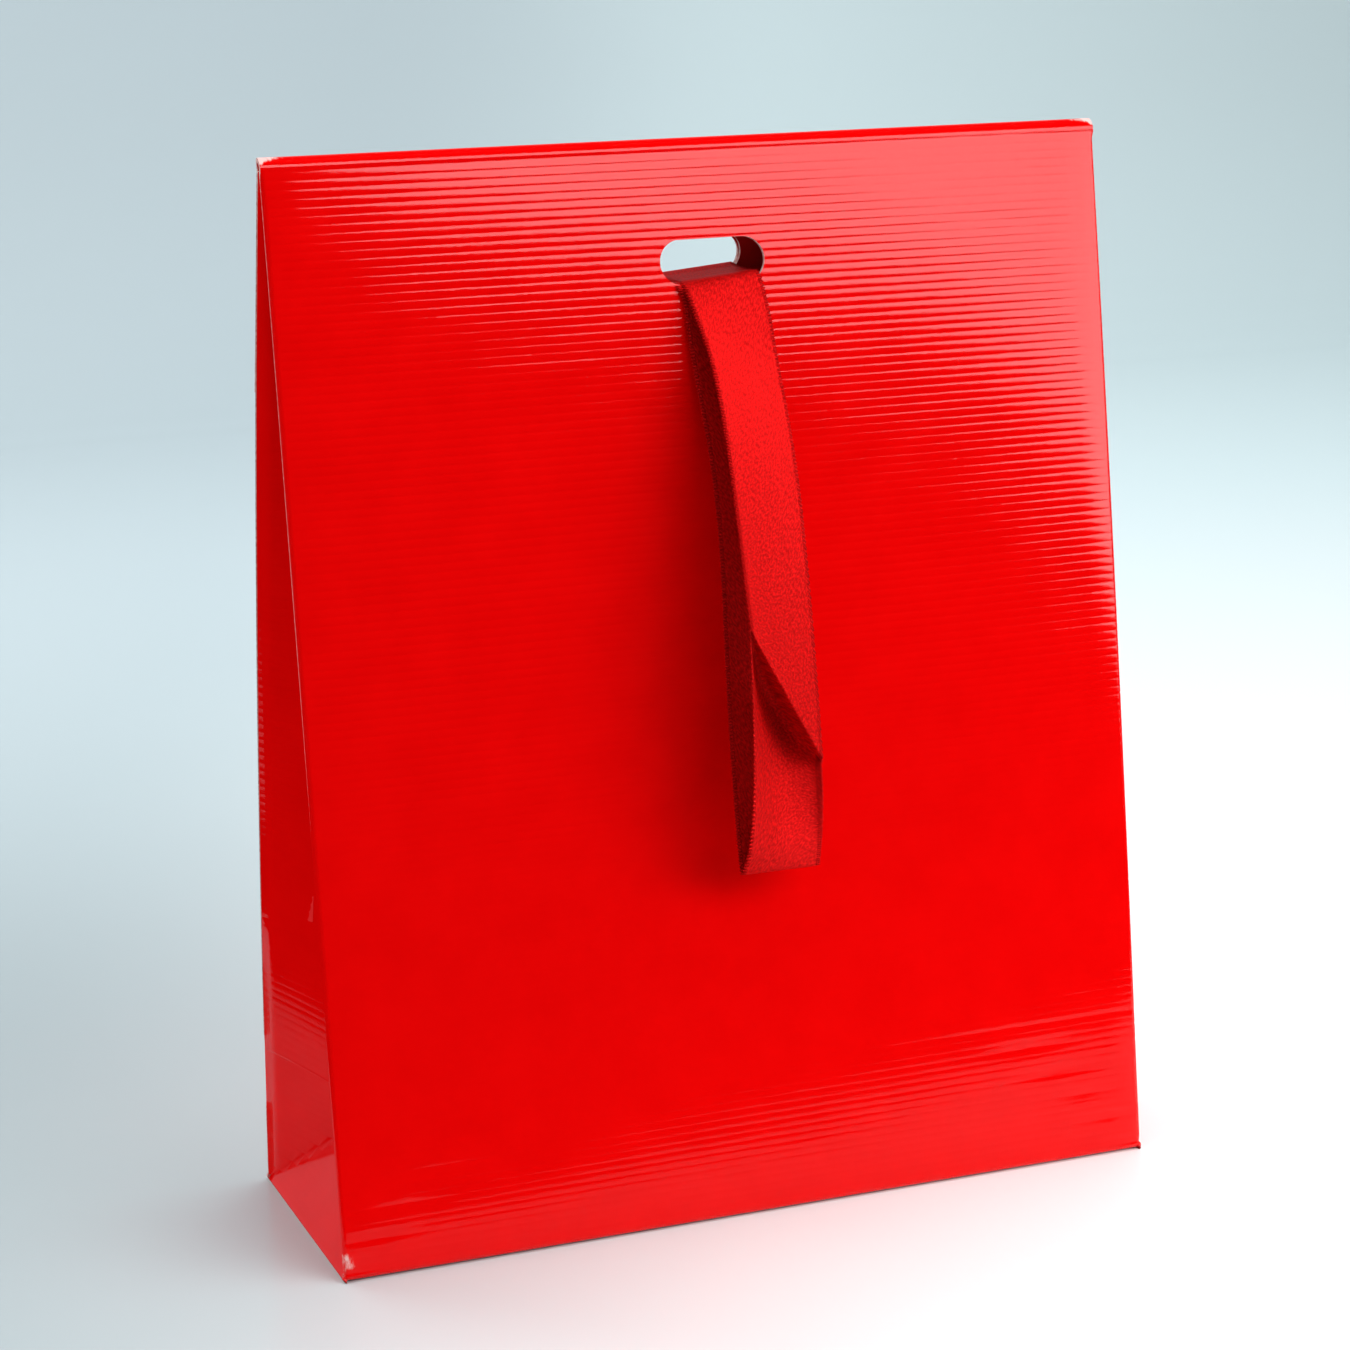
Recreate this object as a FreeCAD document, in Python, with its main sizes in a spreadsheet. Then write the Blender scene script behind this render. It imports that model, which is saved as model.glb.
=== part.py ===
"""Tent-shaped gift bag of ribbed single-face card, closed by a ribbon through a hand slot.

One die-cut card blank makes the whole bag.  Its front and back panels lean together from a
rectangular base to a rounded top fold, and the front panel carries on over that fold as a
closure flap behind the back panel.  The side gussets fold inwards.  A satin ribbon passes
through the matching slots of the front panel, the back panel and the flap.

Frame: millimetres, +Z up, +X to the right, the front faces -Y.  The origin is the centre of
the base's underside.
"""
import FreeCAD, Part
import math
import os

import Sketcher
from FreeCAD import Vector

doc = FreeCAD.newDocument("gift_bag")
sheet = doc.addObject("Spreadsheet::Sheet", "Sizes")


# ---------------------------------------------------------------- driving dimensions, mm
SIZES = [
    ("bag_width", 250.0),          # across the front, corner to corner
    ("bag_depth", 84.0),           # of the base, front to back
    ("bag_height", 306.0),         # floor to the top of the fold
    ("card", 1.2),                 # ribbed single-face card, over the ribs
    ("glue_gap", 0.1),             # between layers that are glued or pressed together
    ("run_gap", 0.3),              # between pieces that move on each other
    ("front_bow", 1.5),            # how far the front panel bulges from its straight line
    ("back_bow", 6.5),             # the same for the back panel
    ("slot_width", 31.5),
    ("slot_height", 12.6),
    ("slot_offset", 1.6),          # slot centre, to the right of the bag's centre
    ("slot_drop", 34.0),           # slot centre, below the top of the fold
    ("flap_length", 64.0),         # closure flap, from the fold to its free edge
    ("seam_width", 15.0),          # glued side seam
    ("tuck_length", 40.0),         # short bottom flaps, from the sides
    ("inner_flap_length", 46.0),   # front bottom flap, inside
    ("board_thickness", 1.5),      # loose stiffener on the bottom
    ("board_clearance", 2.0),      # stiffener to the walls
    ("ribbon_width", 24.0),
    ("ribbon_thickness", 0.5),
    ("ribbon_offset", 5.0),        # ribbon centre, to the right of the bag's centre
    ("loop_drop", 163.0),          # slot lip to the loop's bottom crease
    ("loop_reach", 33.0),          # how far forward of the lip the bottom crease hangs
    ("loop_opening", 11.0),        # widest gap between the loop's two runs
    ("tail_length", 72.0),         # ribbon ends hanging behind the flap
]

# Sizes that follow from the ones above.  A panel's outer face is an arc through its foot,
# at the base's edge, and its head, where the top fold begins; each arc has a radius and a
# centre.  The flap leaves the fold on the back panel's tangent, so it clears the bow.
DERIVED = [
    ("stack_half", "card * 2 + glue_gap * 1.5"),
    ("flap_skin", "stack_half + glue_gap * 2 + card"),
    ("fold_radius", "(stack_half + flap_skin) / 2"),
    ("fold_centre_y", "(flap_skin - stack_half) / 2"),
    ("head_z", "bag_height - fold_radius"),
    ("foot_y", "bag_depth / 2"),
    ("chord", "sqrt((foot_y - stack_half) ^ 2 + head_z ^ 2)"),
    ("slot_z", "bag_height - slot_drop"),
    ("lip_z", "slot_z - slot_height / 2"),
    ("flap_end_z", "head_z - flap_length"),
]
for side in ("front", "back"):
    reach = "sqrt(%s_radius ^ 2 - chord ^ 2 / 4)" % side
    DERIVED += [
        (side + "_radius", "(chord ^ 2 / 4 + %s_bow ^ 2) / (2 * %s_bow)" % (side, side)),
        (side + "_centre_y", "(foot_y + stack_half) / 2 - head_z / chord * " + reach),
        (side + "_centre_z", "head_z / 2 - (foot_y - stack_half) / chord * " + reach),
    ]


def on_arc(side, height):
    """The expression for a panel's outer face at a height, as a distance from the middle."""
    return "({0}_centre_y + sqrt({0}_radius ^ 2 - ({1} - {0}_centre_z) ^ 2))".format(side, height)


DERIVED += [
    ("front_lip_y", "0 - " + on_arc("front", "lip_z")),
    ("back_lip_y", on_arc("back", "lip_z")),
    ("flap_end_y", on_arc("back", "flap_end_z")
        + " + flap_length ^ 2 / (2 * back_radius) + glue_gap * 2"),
    ("flap_slope", "(flap_end_y + card - flap_skin) / (flap_length - run_gap)"),
    ("flap_lip_y", "flap_skin + (head_z - lip_z) * flap_slope"),
]
CELLS = [(alias, repr(value)) for alias, value in SIZES]
CELLS += [(alias, "=" + formula) for alias, formula in DERIVED]
for row, (alias, text) in enumerate(CELLS, start=1):
    sheet.set("A%d" % row, alias)
    sheet.set("B%d" % row, text)
    sheet.setAlias("B%d" % row, alias)
doc.recompute()

NAMES = [alias for alias, _ in CELLS]


def size(name):
    """The sheet's value for one alias."""
    return float(getattr(sheet, name))


def bind(text):
    """Point every alias in an expression at the sheet."""
    for name in sorted(NAMES, key=len, reverse=True):
        text = text.replace(name, "<" + str(NAMES.index(name)) + ">")
    for index, name in enumerate(NAMES):
        text = text.replace("<" + str(index) + ">", "Sizes." + name)
    return text


def face_y(side, height):
    """How far the front or back panel's outer face stands from the centre plane."""
    radius = size(side + "_radius")
    drop = height - size(side + "_centre_z")
    return size(side + "_centre_y") + math.sqrt(radius ** 2 - drop ** 2)


# ------------------------------------------------------------------------ sketch helpers
def new_body(label):
    body = doc.addObject("PartDesign::Body", label)
    body.Label = label
    return body


def sketch_on(body, role, name, offset=None):
    """A sketch on one of the body's own origin planes."""
    sketch = body.newObject("Sketcher::SketchObject", name)
    plane = next(f for f in body.Origin.OriginFeatures if f.Role == role)
    sketch.AttachmentSupport = [(plane, "")]
    sketch.MapMode = "FlatFace"
    if offset:
        sketch.setExpression("AttachmentOffset.Base.z", bind(offset))
    return sketch


def fix_point(sketch, edge, end, across, up):
    """Pin one sketch point to two expressions, measured from the sketch's origin."""
    for kind, text in (("DistanceX", across), ("DistanceY", up)):
        value = sketch.evalExpression(bind(text))
        value = float(getattr(value, "Value", value))
        index = sketch.addConstraint(Sketcher.Constraint(kind, -1, 1, edge, end, value))
        sketch.setExpression("Constraints[%d]" % index, bind(text))


def polygon(sketch, corners):
    """A closed outline whose corners are pairs of expressions."""
    points = []
    for across, up in corners:
        pair = [sketch.evalExpression(bind(text)) for text in (across, up)]
        pair = [float(getattr(value, "Value", value)) for value in pair]
        points.append(Vector(pair[0], pair[1], 0))
    first = sketch.GeometryCount
    count = len(points)
    for index in range(count):
        sketch.addGeometry(Part.LineSegment(points[index], points[(index + 1) % count]), False)
    for index in range(count):
        follower = first + (index + 1) % count
        sketch.addConstraint(Sketcher.Constraint("Coincident", first + index, 2, follower, 1))
    for index, (across, up) in enumerate(corners):
        fix_point(sketch, first + index, 1, across, up)


def pad(body, sketch, length, symmetric=False):
    feature = body.newObject("PartDesign::Pad", sketch.Name + "_pad")
    feature.Profile = sketch
    feature.setExpression("Length", bind(length))
    if symmetric:
        feature.SideType = "Symmetric"
    sketch.Visibility = False
    return feature


def cut_slot(body):
    """The stadium-shaped hand slot, right through the body along Y."""
    sketch = sketch_on(body, "XZ_Plane", body.Name + "_slot_outline")
    half, radius = size("slot_width") / 2 - size("slot_height") / 2, size("slot_height") / 2
    centre_x, centre_z = size("slot_offset"), size("slot_z")
    right, left = Vector(centre_x + half, centre_z, 0), Vector(centre_x - half, centre_z, 0)
    up, axis = Vector(0, radius, 0), Vector(0, 0, 1)
    quarter = math.pi / 2
    sketch.addGeometry(Part.ArcOfCircle(Part.Circle(right, axis, radius), -quarter, quarter))
    sketch.addGeometry(Part.LineSegment(right + up, left + up))
    sketch.addGeometry(Part.ArcOfCircle(Part.Circle(left, axis, radius), quarter, 3 * quarter))
    sketch.addGeometry(Part.LineSegment(left - up, right - up))
    for edge, end, other, start in ((0, 2, 1, 1), (1, 2, 2, 1), (2, 2, 3, 1), (3, 2, 0, 1)):
        sketch.addConstraint(Sketcher.Constraint("Tangent", edge, end, other, start))
    fix_point(sketch, 0, 3, "slot_offset + (slot_width - slot_height) / 2", "slot_z")
    fix_point(sketch, 2, 3, "slot_offset - (slot_width - slot_height) / 2", "slot_z")
    index = sketch.addConstraint(Sketcher.Constraint("Radius", 0, radius))
    sketch.setExpression("Constraints[%d]" % index, bind("slot_height / 2"))
    doc.recompute()
    before = body.Shape.Volume
    pocket = body.newObject("PartDesign::Pocket", body.Name + "_slot")
    pocket.Profile = sketch
    pocket.setExpression("Length", bind("bag_depth * 2"))
    pocket.SideType = "Symmetric"
    doc.recompute()
    if not body.Shape.Volume < before - 1.0:
        raise RuntimeError(body.Label + ": the slot cut nothing")


def panel(label, name, side):
    """A large panel: an arc-shaped strip of card, from the base to the top fold.

    name picks the arc, and side is -1 for the front panel and 1 for the back panel.
    """
    body = new_body(label)
    sketch = sketch_on(body, "YZ_Plane", label + "_profile")
    foot, head = side * size("foot_y"), side * size("stack_half")
    top, card, radius = size("head_z"), size("card"), size(name + "_radius")
    middle = face_y(name, top / 2) * side
    outer = Part.Arc(Vector(foot, 0, 0), Vector(middle, top / 2, 0), Vector(head, top, 0))
    inner = Part.Arc(Vector(foot - side * card, 0, 0),
                     Vector(middle - side * card, top / 2, 0),
                     Vector(head - side * card, top, 0))
    sketch.addGeometry(outer)
    sketch.addGeometry(inner)
    sketch.addGeometry(Part.LineSegment(Vector(foot, 0, 0), Vector(foot - side * card, 0, 0)))
    sketch.addGeometry(Part.LineSegment(Vector(head, top, 0), Vector(head - side * card, top, 0)))
    ends = {}
    for arc in (0, 1):
        low = 1 if abs(sketch.getPoint(arc, 1).y) < 1.0 else 2
        ends[arc] = (low, 3 - low)
    sketch.addConstraint(Sketcher.Constraint("Coincident", 0, ends[0][0], 2, 1))
    sketch.addConstraint(Sketcher.Constraint("Coincident", 1, ends[1][0], 2, 2))
    sketch.addConstraint(Sketcher.Constraint("Coincident", 0, ends[0][1], 3, 1))
    sketch.addConstraint(Sketcher.Constraint("Coincident", 1, ends[1][1], 3, 2))
    sign = "-" if side < 0 else ""
    fix_point(sketch, 0, ends[0][0], sign + "foot_y", "0")
    fix_point(sketch, 0, ends[0][1], sign + "stack_half", "head_z")
    index = sketch.addConstraint(Sketcher.Constraint("Radius", 0, radius))
    sketch.setExpression("Constraints[%d]" % index, bind(name + "_radius"))
    sketch.addConstraint(Sketcher.Constraint("Coincident", 0, 3, 1, 3))
    index = sketch.addConstraint(Sketcher.Constraint("Radius", 1, radius - card))
    sketch.setExpression("Constraints[%d]" % index, bind(name + "_radius - card"))
    sketch.addConstraint(Sketcher.Constraint("Horizontal", 2))
    sketch.addConstraint(Sketcher.Constraint("Horizontal", 3))
    pad(body, sketch, "bag_width", symmetric=True)
    cut_slot(body)
    return body


# --------------------------------------------------------------------------- large panels
panel("front_panel", "front", -1)
panel("back_panel", "back", 1)


# ------------------------------------------------------------------------------- top fold
# The card turns over the top of the stack in half a circle, from the front panel to the flap.
top_fold = new_body("top_fold")
fold_sketch = sketch_on(top_fold, "YZ_Plane", "top_fold_profile")
fold_centre = Vector(size("fold_centre_y"), size("head_z"), 0)
for radius in (size("fold_radius"), size("fold_radius") - size("card")):
    circle = Part.Circle(fold_centre, Vector(0, 0, 1), radius)
    fold_sketch.addGeometry(Part.ArcOfCircle(circle, 0, math.pi))
for end in (1, -1):
    reach = Vector(end * size("fold_radius"), 0, 0)
    wall = Vector(end * (size("fold_radius") - size("card")), 0, 0)
    fold_sketch.addGeometry(Part.LineSegment(fold_centre + reach, fold_centre + wall))
for arc in (0, 1):
    for line, arc_end in ((2, 1), (3, 2)):
        fold_sketch.addConstraint(Sketcher.Constraint("Coincident", arc, arc_end, line, arc + 1))
fix_point(fold_sketch, 0, 3, "fold_centre_y", "head_z")
fold_sketch.addConstraint(Sketcher.Constraint("Coincident", 0, 3, 1, 3))
for arc, text in ((0, "fold_radius"), (1, "fold_radius - card")):
    value = size("fold_radius") - arc * size("card")
    index = fold_sketch.addConstraint(Sketcher.Constraint("Radius", arc, value))
    fold_sketch.setExpression("Constraints[%d]" % index, bind(text))
fold_sketch.addConstraint(Sketcher.Constraint("Horizontal", 2))
fold_sketch.addConstraint(Sketcher.Constraint("Horizontal", 3))
pad(top_fold, fold_sketch, "bag_width", symmetric=True)


# --------------------------------------------------------------------------- closure flap
# Straight, and slanted so that it lies just off the bowed back panel.
closure_flap = new_body("closure_flap")
flap_sketch = sketch_on(closure_flap, "YZ_Plane", "closure_flap_profile")
polygon(flap_sketch, [
    ("flap_skin - card", "head_z - run_gap"),
    ("flap_skin", "head_z - run_gap"),
    ("flap_end_y + card", "flap_end_z"),
    ("flap_end_y", "flap_end_z"),
])
pad(closure_flap, flap_sketch, "bag_width", symmetric=True)
cut_slot(closure_flap)


# ---------------------------------------------------------------------------- bottom flaps
def floor_plate(label, corners, level, thickness):
    """A flat plate on the bottom of the bag, its corners given in X and Y."""
    body = new_body(label)
    sketch = sketch_on(body, "XY_Plane", label + "_outline", offset=level)
    polygon(sketch, corners)
    pad(body, sketch, thickness)
    return body


# The walls lean in, so each layer is a little shorter than the one under it.
INSIDE_X = "(bag_width / 2 - card * 1.8)"
INSIDE_Y = "(foot_y - card - glue_gap * 4)"

floor_plate("bottom_flap_back", [
    ("-" + INSIDE_X, "-" + INSIDE_Y),
    (INSIDE_X, "-" + INSIDE_Y),
    (INSIDE_X, INSIDE_Y),
    ("-" + INSIDE_X, INSIDE_Y),
], "0", "card")

SECOND_LEVEL = "card + glue_gap"
WALL_SLOPE = "(card + glue_gap) * 2"
floor_plate("bottom_flap_front", [
    ("-" + INSIDE_X + " + " + WALL_SLOPE, "-" + INSIDE_Y + " + card"),
    (INSIDE_X + " - " + WALL_SLOPE, "-" + INSIDE_Y + " + card"),
    (INSIDE_X + " - tuck_length / 2", "-" + INSIDE_Y + " + inner_flap_length"),
    ("-" + INSIDE_X + " + tuck_length / 2", "-" + INSIDE_Y + " + inner_flap_length"),
], SECOND_LEVEL, "card")

THIRD_LEVEL = "(card + glue_gap) * 2"
for side, name in ((-1, "left"), (1, "right")):
    sign = "-" if side < 0 else ""
    outer_edge = sign + "(bag_width / 2 - card * 4)"
    inner_edge = sign + "(bag_width / 2 - card * 4 - tuck_length)"
    corners = [
        (outer_edge, "-" + INSIDE_Y + " + card * 2"),
        (outer_edge, INSIDE_Y + " - card * 2"),
        (inner_edge, INSIDE_Y + " - card * 2 - tuck_length / 3"),
        (inner_edge, "-" + INSIDE_Y + " + card * 2 + tuck_length / 3"),
    ]
    floor_plate("bottom_tuck_" + name, corners, THIRD_LEVEL, "card")

BOARD_LEVEL = "(card + glue_gap) * 3"
BOARD_X = "(bag_width / 2 - card * 5 - board_clearance)"
BOARD_Y = "(foot_y - card * 2.5 - board_clearance)"
floor_plate("base_board", [
    ("-" + BOARD_X, "-" + BOARD_Y),
    (BOARD_X, "-" + BOARD_Y),
    (BOARD_X, BOARD_Y),
    ("-" + BOARD_X, BOARD_Y),
], BOARD_LEVEL, "board_thickness")


# -------------------------------------------------------------------------- side gussets
# Each side wall is creased down its middle and along two slanting lines at its foot.  The
# three facets are a triangle on the floor side and a front and a back half, whose shared
# crease sinks further into the bag the nearer the panels come together.
def gusset_section(height, side):
    """Four corners of a half gusset at one height, on the bag's left.

    The corners run from the crease at the panel to the middle crease on the outer face, and
    back on the inner face.
    """
    card, gap = size("card"), size("glue_gap")
    room = face_y(side, height) - card - gap * 2
    width = size("foot_y") - card
    angle = 0.0
    for _ in range(40):
        angle = math.asin((room - card * math.cos(angle) - gap / 2) / width)
    across, away = math.cos(angle), math.sin(angle)
    crease_x = -size("bag_width") / 2
    outer_start = (crease_x, room - card * across)
    outer_stop = (crease_x + width * across, gap / 2)
    inner_stop = (outer_stop[0] + card * away, outer_stop[1] + card * across)
    inner_start = (outer_start[0] + card * away, outer_start[1] + card * across)
    sign = -1 if side == "front" else 1
    corners = (outer_start, outer_stop, inner_stop, inner_start)
    return [Vector(x, sign * y, height) for x, y in corners]


APEX_Z = size("foot_y") * size("head_z") / size("chord")
APEX_DEPTH = gusset_section(APEX_Z, "front")[1].x + size("bag_width") / 2
GUSSET_TOP = size("head_z") - size("glue_gap")
STATION_COUNT = 6
STATIONS_Z = [APEX_Z + (GUSSET_TOP - APEX_Z) * step / STATION_COUNT
              for step in range(STATION_COUNT + 1)]
TOE_SHARE = 0.06                   # where a half gusset's slanting foot ends, blunt


def add_shape(label, shape, mirrored=False):
    """A sub-part whose ruled faces no sketch feature makes."""
    if shape.Volume < 0:
        shape.reverse()
    if mirrored:
        shape = shape.mirror(Vector(0, 0, 0), Vector(1, 0, 0))
    feature = doc.addObject("Part::Feature", label)
    feature.Label = label
    feature.Shape = shape
    return feature


def loft(sections):
    wires = [Part.makePolygon(corners + [corners[0]]) for corners in sections]
    return Part.makeLoft(wires, True, True)


def gusset_half(side):
    """Half a side wall: a slanting toe up to the apex, then the full width to the top."""
    full = gusset_section(APEX_Z, side)
    toe = gusset_section(APEX_Z * TOE_SHARE, side)[0]
    span = (full[1] - full[0]) * TOE_SHARE
    thick = full[3] - full[0]
    low = [toe, toe + span, toe + span + thick, toe + thick]
    return loft([low] + [gusset_section(z, side) for z in STATIONS_Z])


def gusset_foot():
    """The triangle between the base's side edge and the apex, leaning into the bag."""
    edge = -size("bag_width") / 2
    margin = 2.5 * size("card")
    base = size("foot_y") - size("card") - margin
    lean = Vector(APEX_DEPTH, 0, APEX_Z).normalize()
    inward = Vector(lean.z, 0, -lean.x)
    length = math.hypot(APEX_DEPTH, APEX_Z) - margin * 1.3
    lift = Vector(0, 0, size("card") * lean.x)      # its thickness stays above the floor
    corners = [Vector(edge, -base, 0), Vector(edge, base, 0), Vector(edge, 0, 0) + lean * length]
    corners = [corner + lift for corner in corners]
    wire = Part.makePolygon(corners + [corners[0]])
    return Part.Face(wire).extrude(inward * size("card"))


for mirrored, name in ((False, "left"), (True, "right")):
    add_shape(name + "_gusset_front", gusset_half("front"), mirrored)
    add_shape(name + "_gusset_back", gusset_half("back"), mirrored)
    add_shape(name + "_gusset_foot", gusset_foot(), mirrored)


# ------------------------------------------------------------------------- side seam tab
# The blank closes here: a strip along its edge, glued inside the left back half gusset.
def seam_tab():
    gap = size("glue_gap")
    sections = []
    for height in STATIONS_Z[1:-1]:
        corners = gusset_section(height, "back")
        along = (corners[2] - corners[3]).normalize()
        inward = (corners[3] - corners[0]).normalize()
        start = corners[3] + along * (size("card") * 3) + inward * gap
        stop = start + along * size("seam_width")
        depth = inward * (size("card") * 0.8)
        sections.append([start, stop, stop + depth, start + depth])
    return loft(sections)


add_shape("side_seam_tab", seam_tab())


# --------------------------------------------------------------------------------- ribbon
# Both runs of the folded ribbon lie one on the other in the slots.  There they are gathered
# to the flat of the slots' lower lips.
FLAT_WIDTH = "slot_width - slot_height - run_gap * 2"
THROAT_LOW = "lip_z + run_gap"
THROAT_HIGH = "lip_z + run_gap + ribbon_thickness * 2"


def ribbon_pad(body, name, outlines, width, centre):
    sketch = sketch_on(body, "YZ_Plane", name + "_profile", offset=centre)
    for corners in outlines:
        polygon(sketch, corners)
    return pad(body, sketch, width, symmetric=True)


ribbon_pad(new_body("ribbon_throat"), "ribbon_throat", [[
    ("front_lip_y - run_gap", THROAT_LOW),
    ("back_lip_y - card", THROAT_LOW),
    ("back_lip_y - card", THROAT_HIGH),
    ("front_lip_y - run_gap", THROAT_HIGH),
]], FLAT_WIDTH, "slot_offset")

# The loop in front: the back run droops from the lip to the bottom crease, and the front run
# swings out beyond it.  Each station is a share of the drop, then the back run's share of the
# reach, and the two runs' share of the widest opening.
LOOP_STATIONS = [
    (0.10, 0.15, 0.30),
    (0.27, 0.42, 0.66),
    (0.45, 0.68, 0.90),
    (0.64, 0.88, 1.00),
    (0.80, 0.96, 0.98),
    (0.92, 0.99, 0.66),
]
LOOP_TOP_Y = "front_lip_y - run_gap * 2"
CREASE_OPENING = 0.12


def loop_point(share, reach, opening, layers):
    across = ("%s - loop_reach * %.2f - loop_opening * %.2f - ribbon_thickness * %.2f"
              % (LOOP_TOP_Y, reach, opening, layers))
    return across, "lip_z - loop_drop * %.3f" % share


outer_loop = [(LOOP_TOP_Y, THROAT_LOW), (LOOP_TOP_Y, THROAT_HIGH)]
outer_loop += [loop_point(*station, 2.0) for station in LOOP_STATIONS]
outer_loop += [loop_point(1.0, 1.0, CREASE_OPENING, 2.0), loop_point(1.0, 1.0, 0.0, 0.0)]
outer_loop += [loop_point(share, reach, 0.0, 0.0) for share, reach, _ in reversed(LOOP_STATIONS)]
inner_loop = [loop_point(*station, 1.0) for station in LOOP_STATIONS]
inner_loop += [loop_point(0.985, 1.0, CREASE_OPENING, 1.0), loop_point(0.985, 1.0, 0.0, 1.05)]
inner_loop += [loop_point(share, reach, 0.0, 1.05) for share, reach, _ in reversed(LOOP_STATIONS)]
ribbon_pad(new_body("ribbon_loop"), "ribbon_loop", [outer_loop, inner_loop],
           "ribbon_width", "ribbon_offset")

# The two ends come out through the flap's slot, as a tongue, and hang down behind the flap.
TAIL_Y = "flap_lip_y + glue_gap * 3"
TAIL_FAR = TAIL_Y + " + ribbon_thickness * 2"
BESIDE_FLAP_END = " + flap_slope * (lip_z - flap_end_z)"
TAIL_TIP_Y = on_arc("back", "(lip_z - tail_length)") + " + glue_gap * 5"
ribbon_tails = new_body("ribbon_tails")
ribbon_pad(ribbon_tails, "ribbon_tails", [[
    (TAIL_Y, THROAT_LOW),
    (TAIL_Y + BESIDE_FLAP_END, "flap_end_z"),
    (TAIL_TIP_Y, "lip_z - tail_length"),
    (TAIL_TIP_Y + " + ribbon_thickness * 2", "lip_z - tail_length"),
    (TAIL_FAR + BESIDE_FLAP_END, "flap_end_z"),
    (TAIL_FAR, THROAT_HIGH),
    (TAIL_Y, THROAT_HIGH),
]], "ribbon_width", "ribbon_offset")
ribbon_pad(ribbon_tails, "ribbon_tongue", [[
    ("back_lip_y + run_gap", THROAT_LOW),
    (TAIL_Y + " + ribbon_thickness / 2", THROAT_LOW),
    (TAIL_Y + " + ribbon_thickness / 2", THROAT_HIGH),
    ("back_lip_y + run_gap", THROAT_HIGH),
]], FLAT_WIDTH, "slot_offset")


# ---------------------------------------------------------------------- check and export
doc.recompute()
subparts = [obj for obj in doc.Objects
            if obj.TypeId in ("PartDesign::Body", "Part::Feature")]
for obj in doc.Objects:
    if "Invalid" in obj.State or "Error" in obj.State:
        raise RuntimeError(obj.Label + " failed: " + " ".join(obj.State))
for obj in subparts:
    if obj.Shape.isNull() or not obj.Shape.isValid():
        raise RuntimeError(obj.Label + ": its shape is null or not valid")

os.makedirs("parts", exist_ok=True)
for obj in subparts:
    obj.Shape.exportStep(os.path.join("parts", obj.Label + ".step"))
    box = obj.Shape.BoundBox
    print("%-20s solids %d volume %9.1f  x %7.1f %7.1f  y %6.1f %6.1f  z %6.1f %6.1f" % (
        obj.Label, len(obj.Shape.Solids), obj.Shape.Volume,
        box.XMin, box.XMax, box.YMin, box.YMax, box.ZMin, box.ZMax))
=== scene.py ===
import math

import bmesh
import bpy
from mathutils import Matrix, Vector, noise


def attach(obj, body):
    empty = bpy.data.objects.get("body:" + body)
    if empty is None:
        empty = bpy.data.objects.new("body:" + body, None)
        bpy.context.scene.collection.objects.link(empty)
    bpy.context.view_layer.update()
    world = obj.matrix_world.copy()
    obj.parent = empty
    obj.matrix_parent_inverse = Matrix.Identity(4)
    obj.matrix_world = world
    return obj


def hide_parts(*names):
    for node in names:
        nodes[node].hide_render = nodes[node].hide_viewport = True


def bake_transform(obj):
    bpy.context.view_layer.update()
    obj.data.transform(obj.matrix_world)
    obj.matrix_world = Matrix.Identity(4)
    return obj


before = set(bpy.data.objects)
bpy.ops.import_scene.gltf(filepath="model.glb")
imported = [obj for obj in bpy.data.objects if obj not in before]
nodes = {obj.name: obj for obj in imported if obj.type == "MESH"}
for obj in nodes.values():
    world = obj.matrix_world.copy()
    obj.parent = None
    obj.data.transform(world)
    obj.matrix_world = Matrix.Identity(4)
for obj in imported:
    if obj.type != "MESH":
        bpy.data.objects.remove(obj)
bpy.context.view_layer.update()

# ---------------------------------------------------------------------------
# The view
# The bag is seen from a little to its left and from slightly above, from just
# under a metre away with a fairly long lens.
# ---------------------------------------------------------------------------
view_turn = math.radians(-21.24)
view_height = math.radians(13.72)
view_roll = math.radians(-0.90)
view_distance = 0.978
looked_at = Vector((-0.0078, 0.0, 0.1519))

towards_eye = Vector((
    math.sin(view_turn) * math.cos(view_height),
    -math.cos(view_turn) * math.cos(view_height),
    math.sin(view_height),
))
level_right = (-towards_eye).cross(Vector((0, 0, 1))).normalized()
level_up = level_right.cross(-towards_eye)
eye_right = level_right * math.cos(view_roll) + level_up * math.sin(view_roll)
eye_up = -level_right * math.sin(view_roll) + level_up * math.cos(view_roll)

lens = bpy.data.cameras.new("studio_camera")
lens.lens = 90
lens.sensor_width = 36
lens.clip_start = 0.05
camera = bpy.data.objects.new("studio_camera", lens)
camera.matrix_world = Matrix.Translation(looked_at + towards_eye * view_distance) @ Matrix(
    (eye_right, eye_up, towards_eye)
).transposed().to_4x4()
bpy.context.scene.collection.objects.link(camera)
bpy.context.scene.camera = camera
bpy.context.scene.view_settings.view_transform = "Standard"


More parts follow.
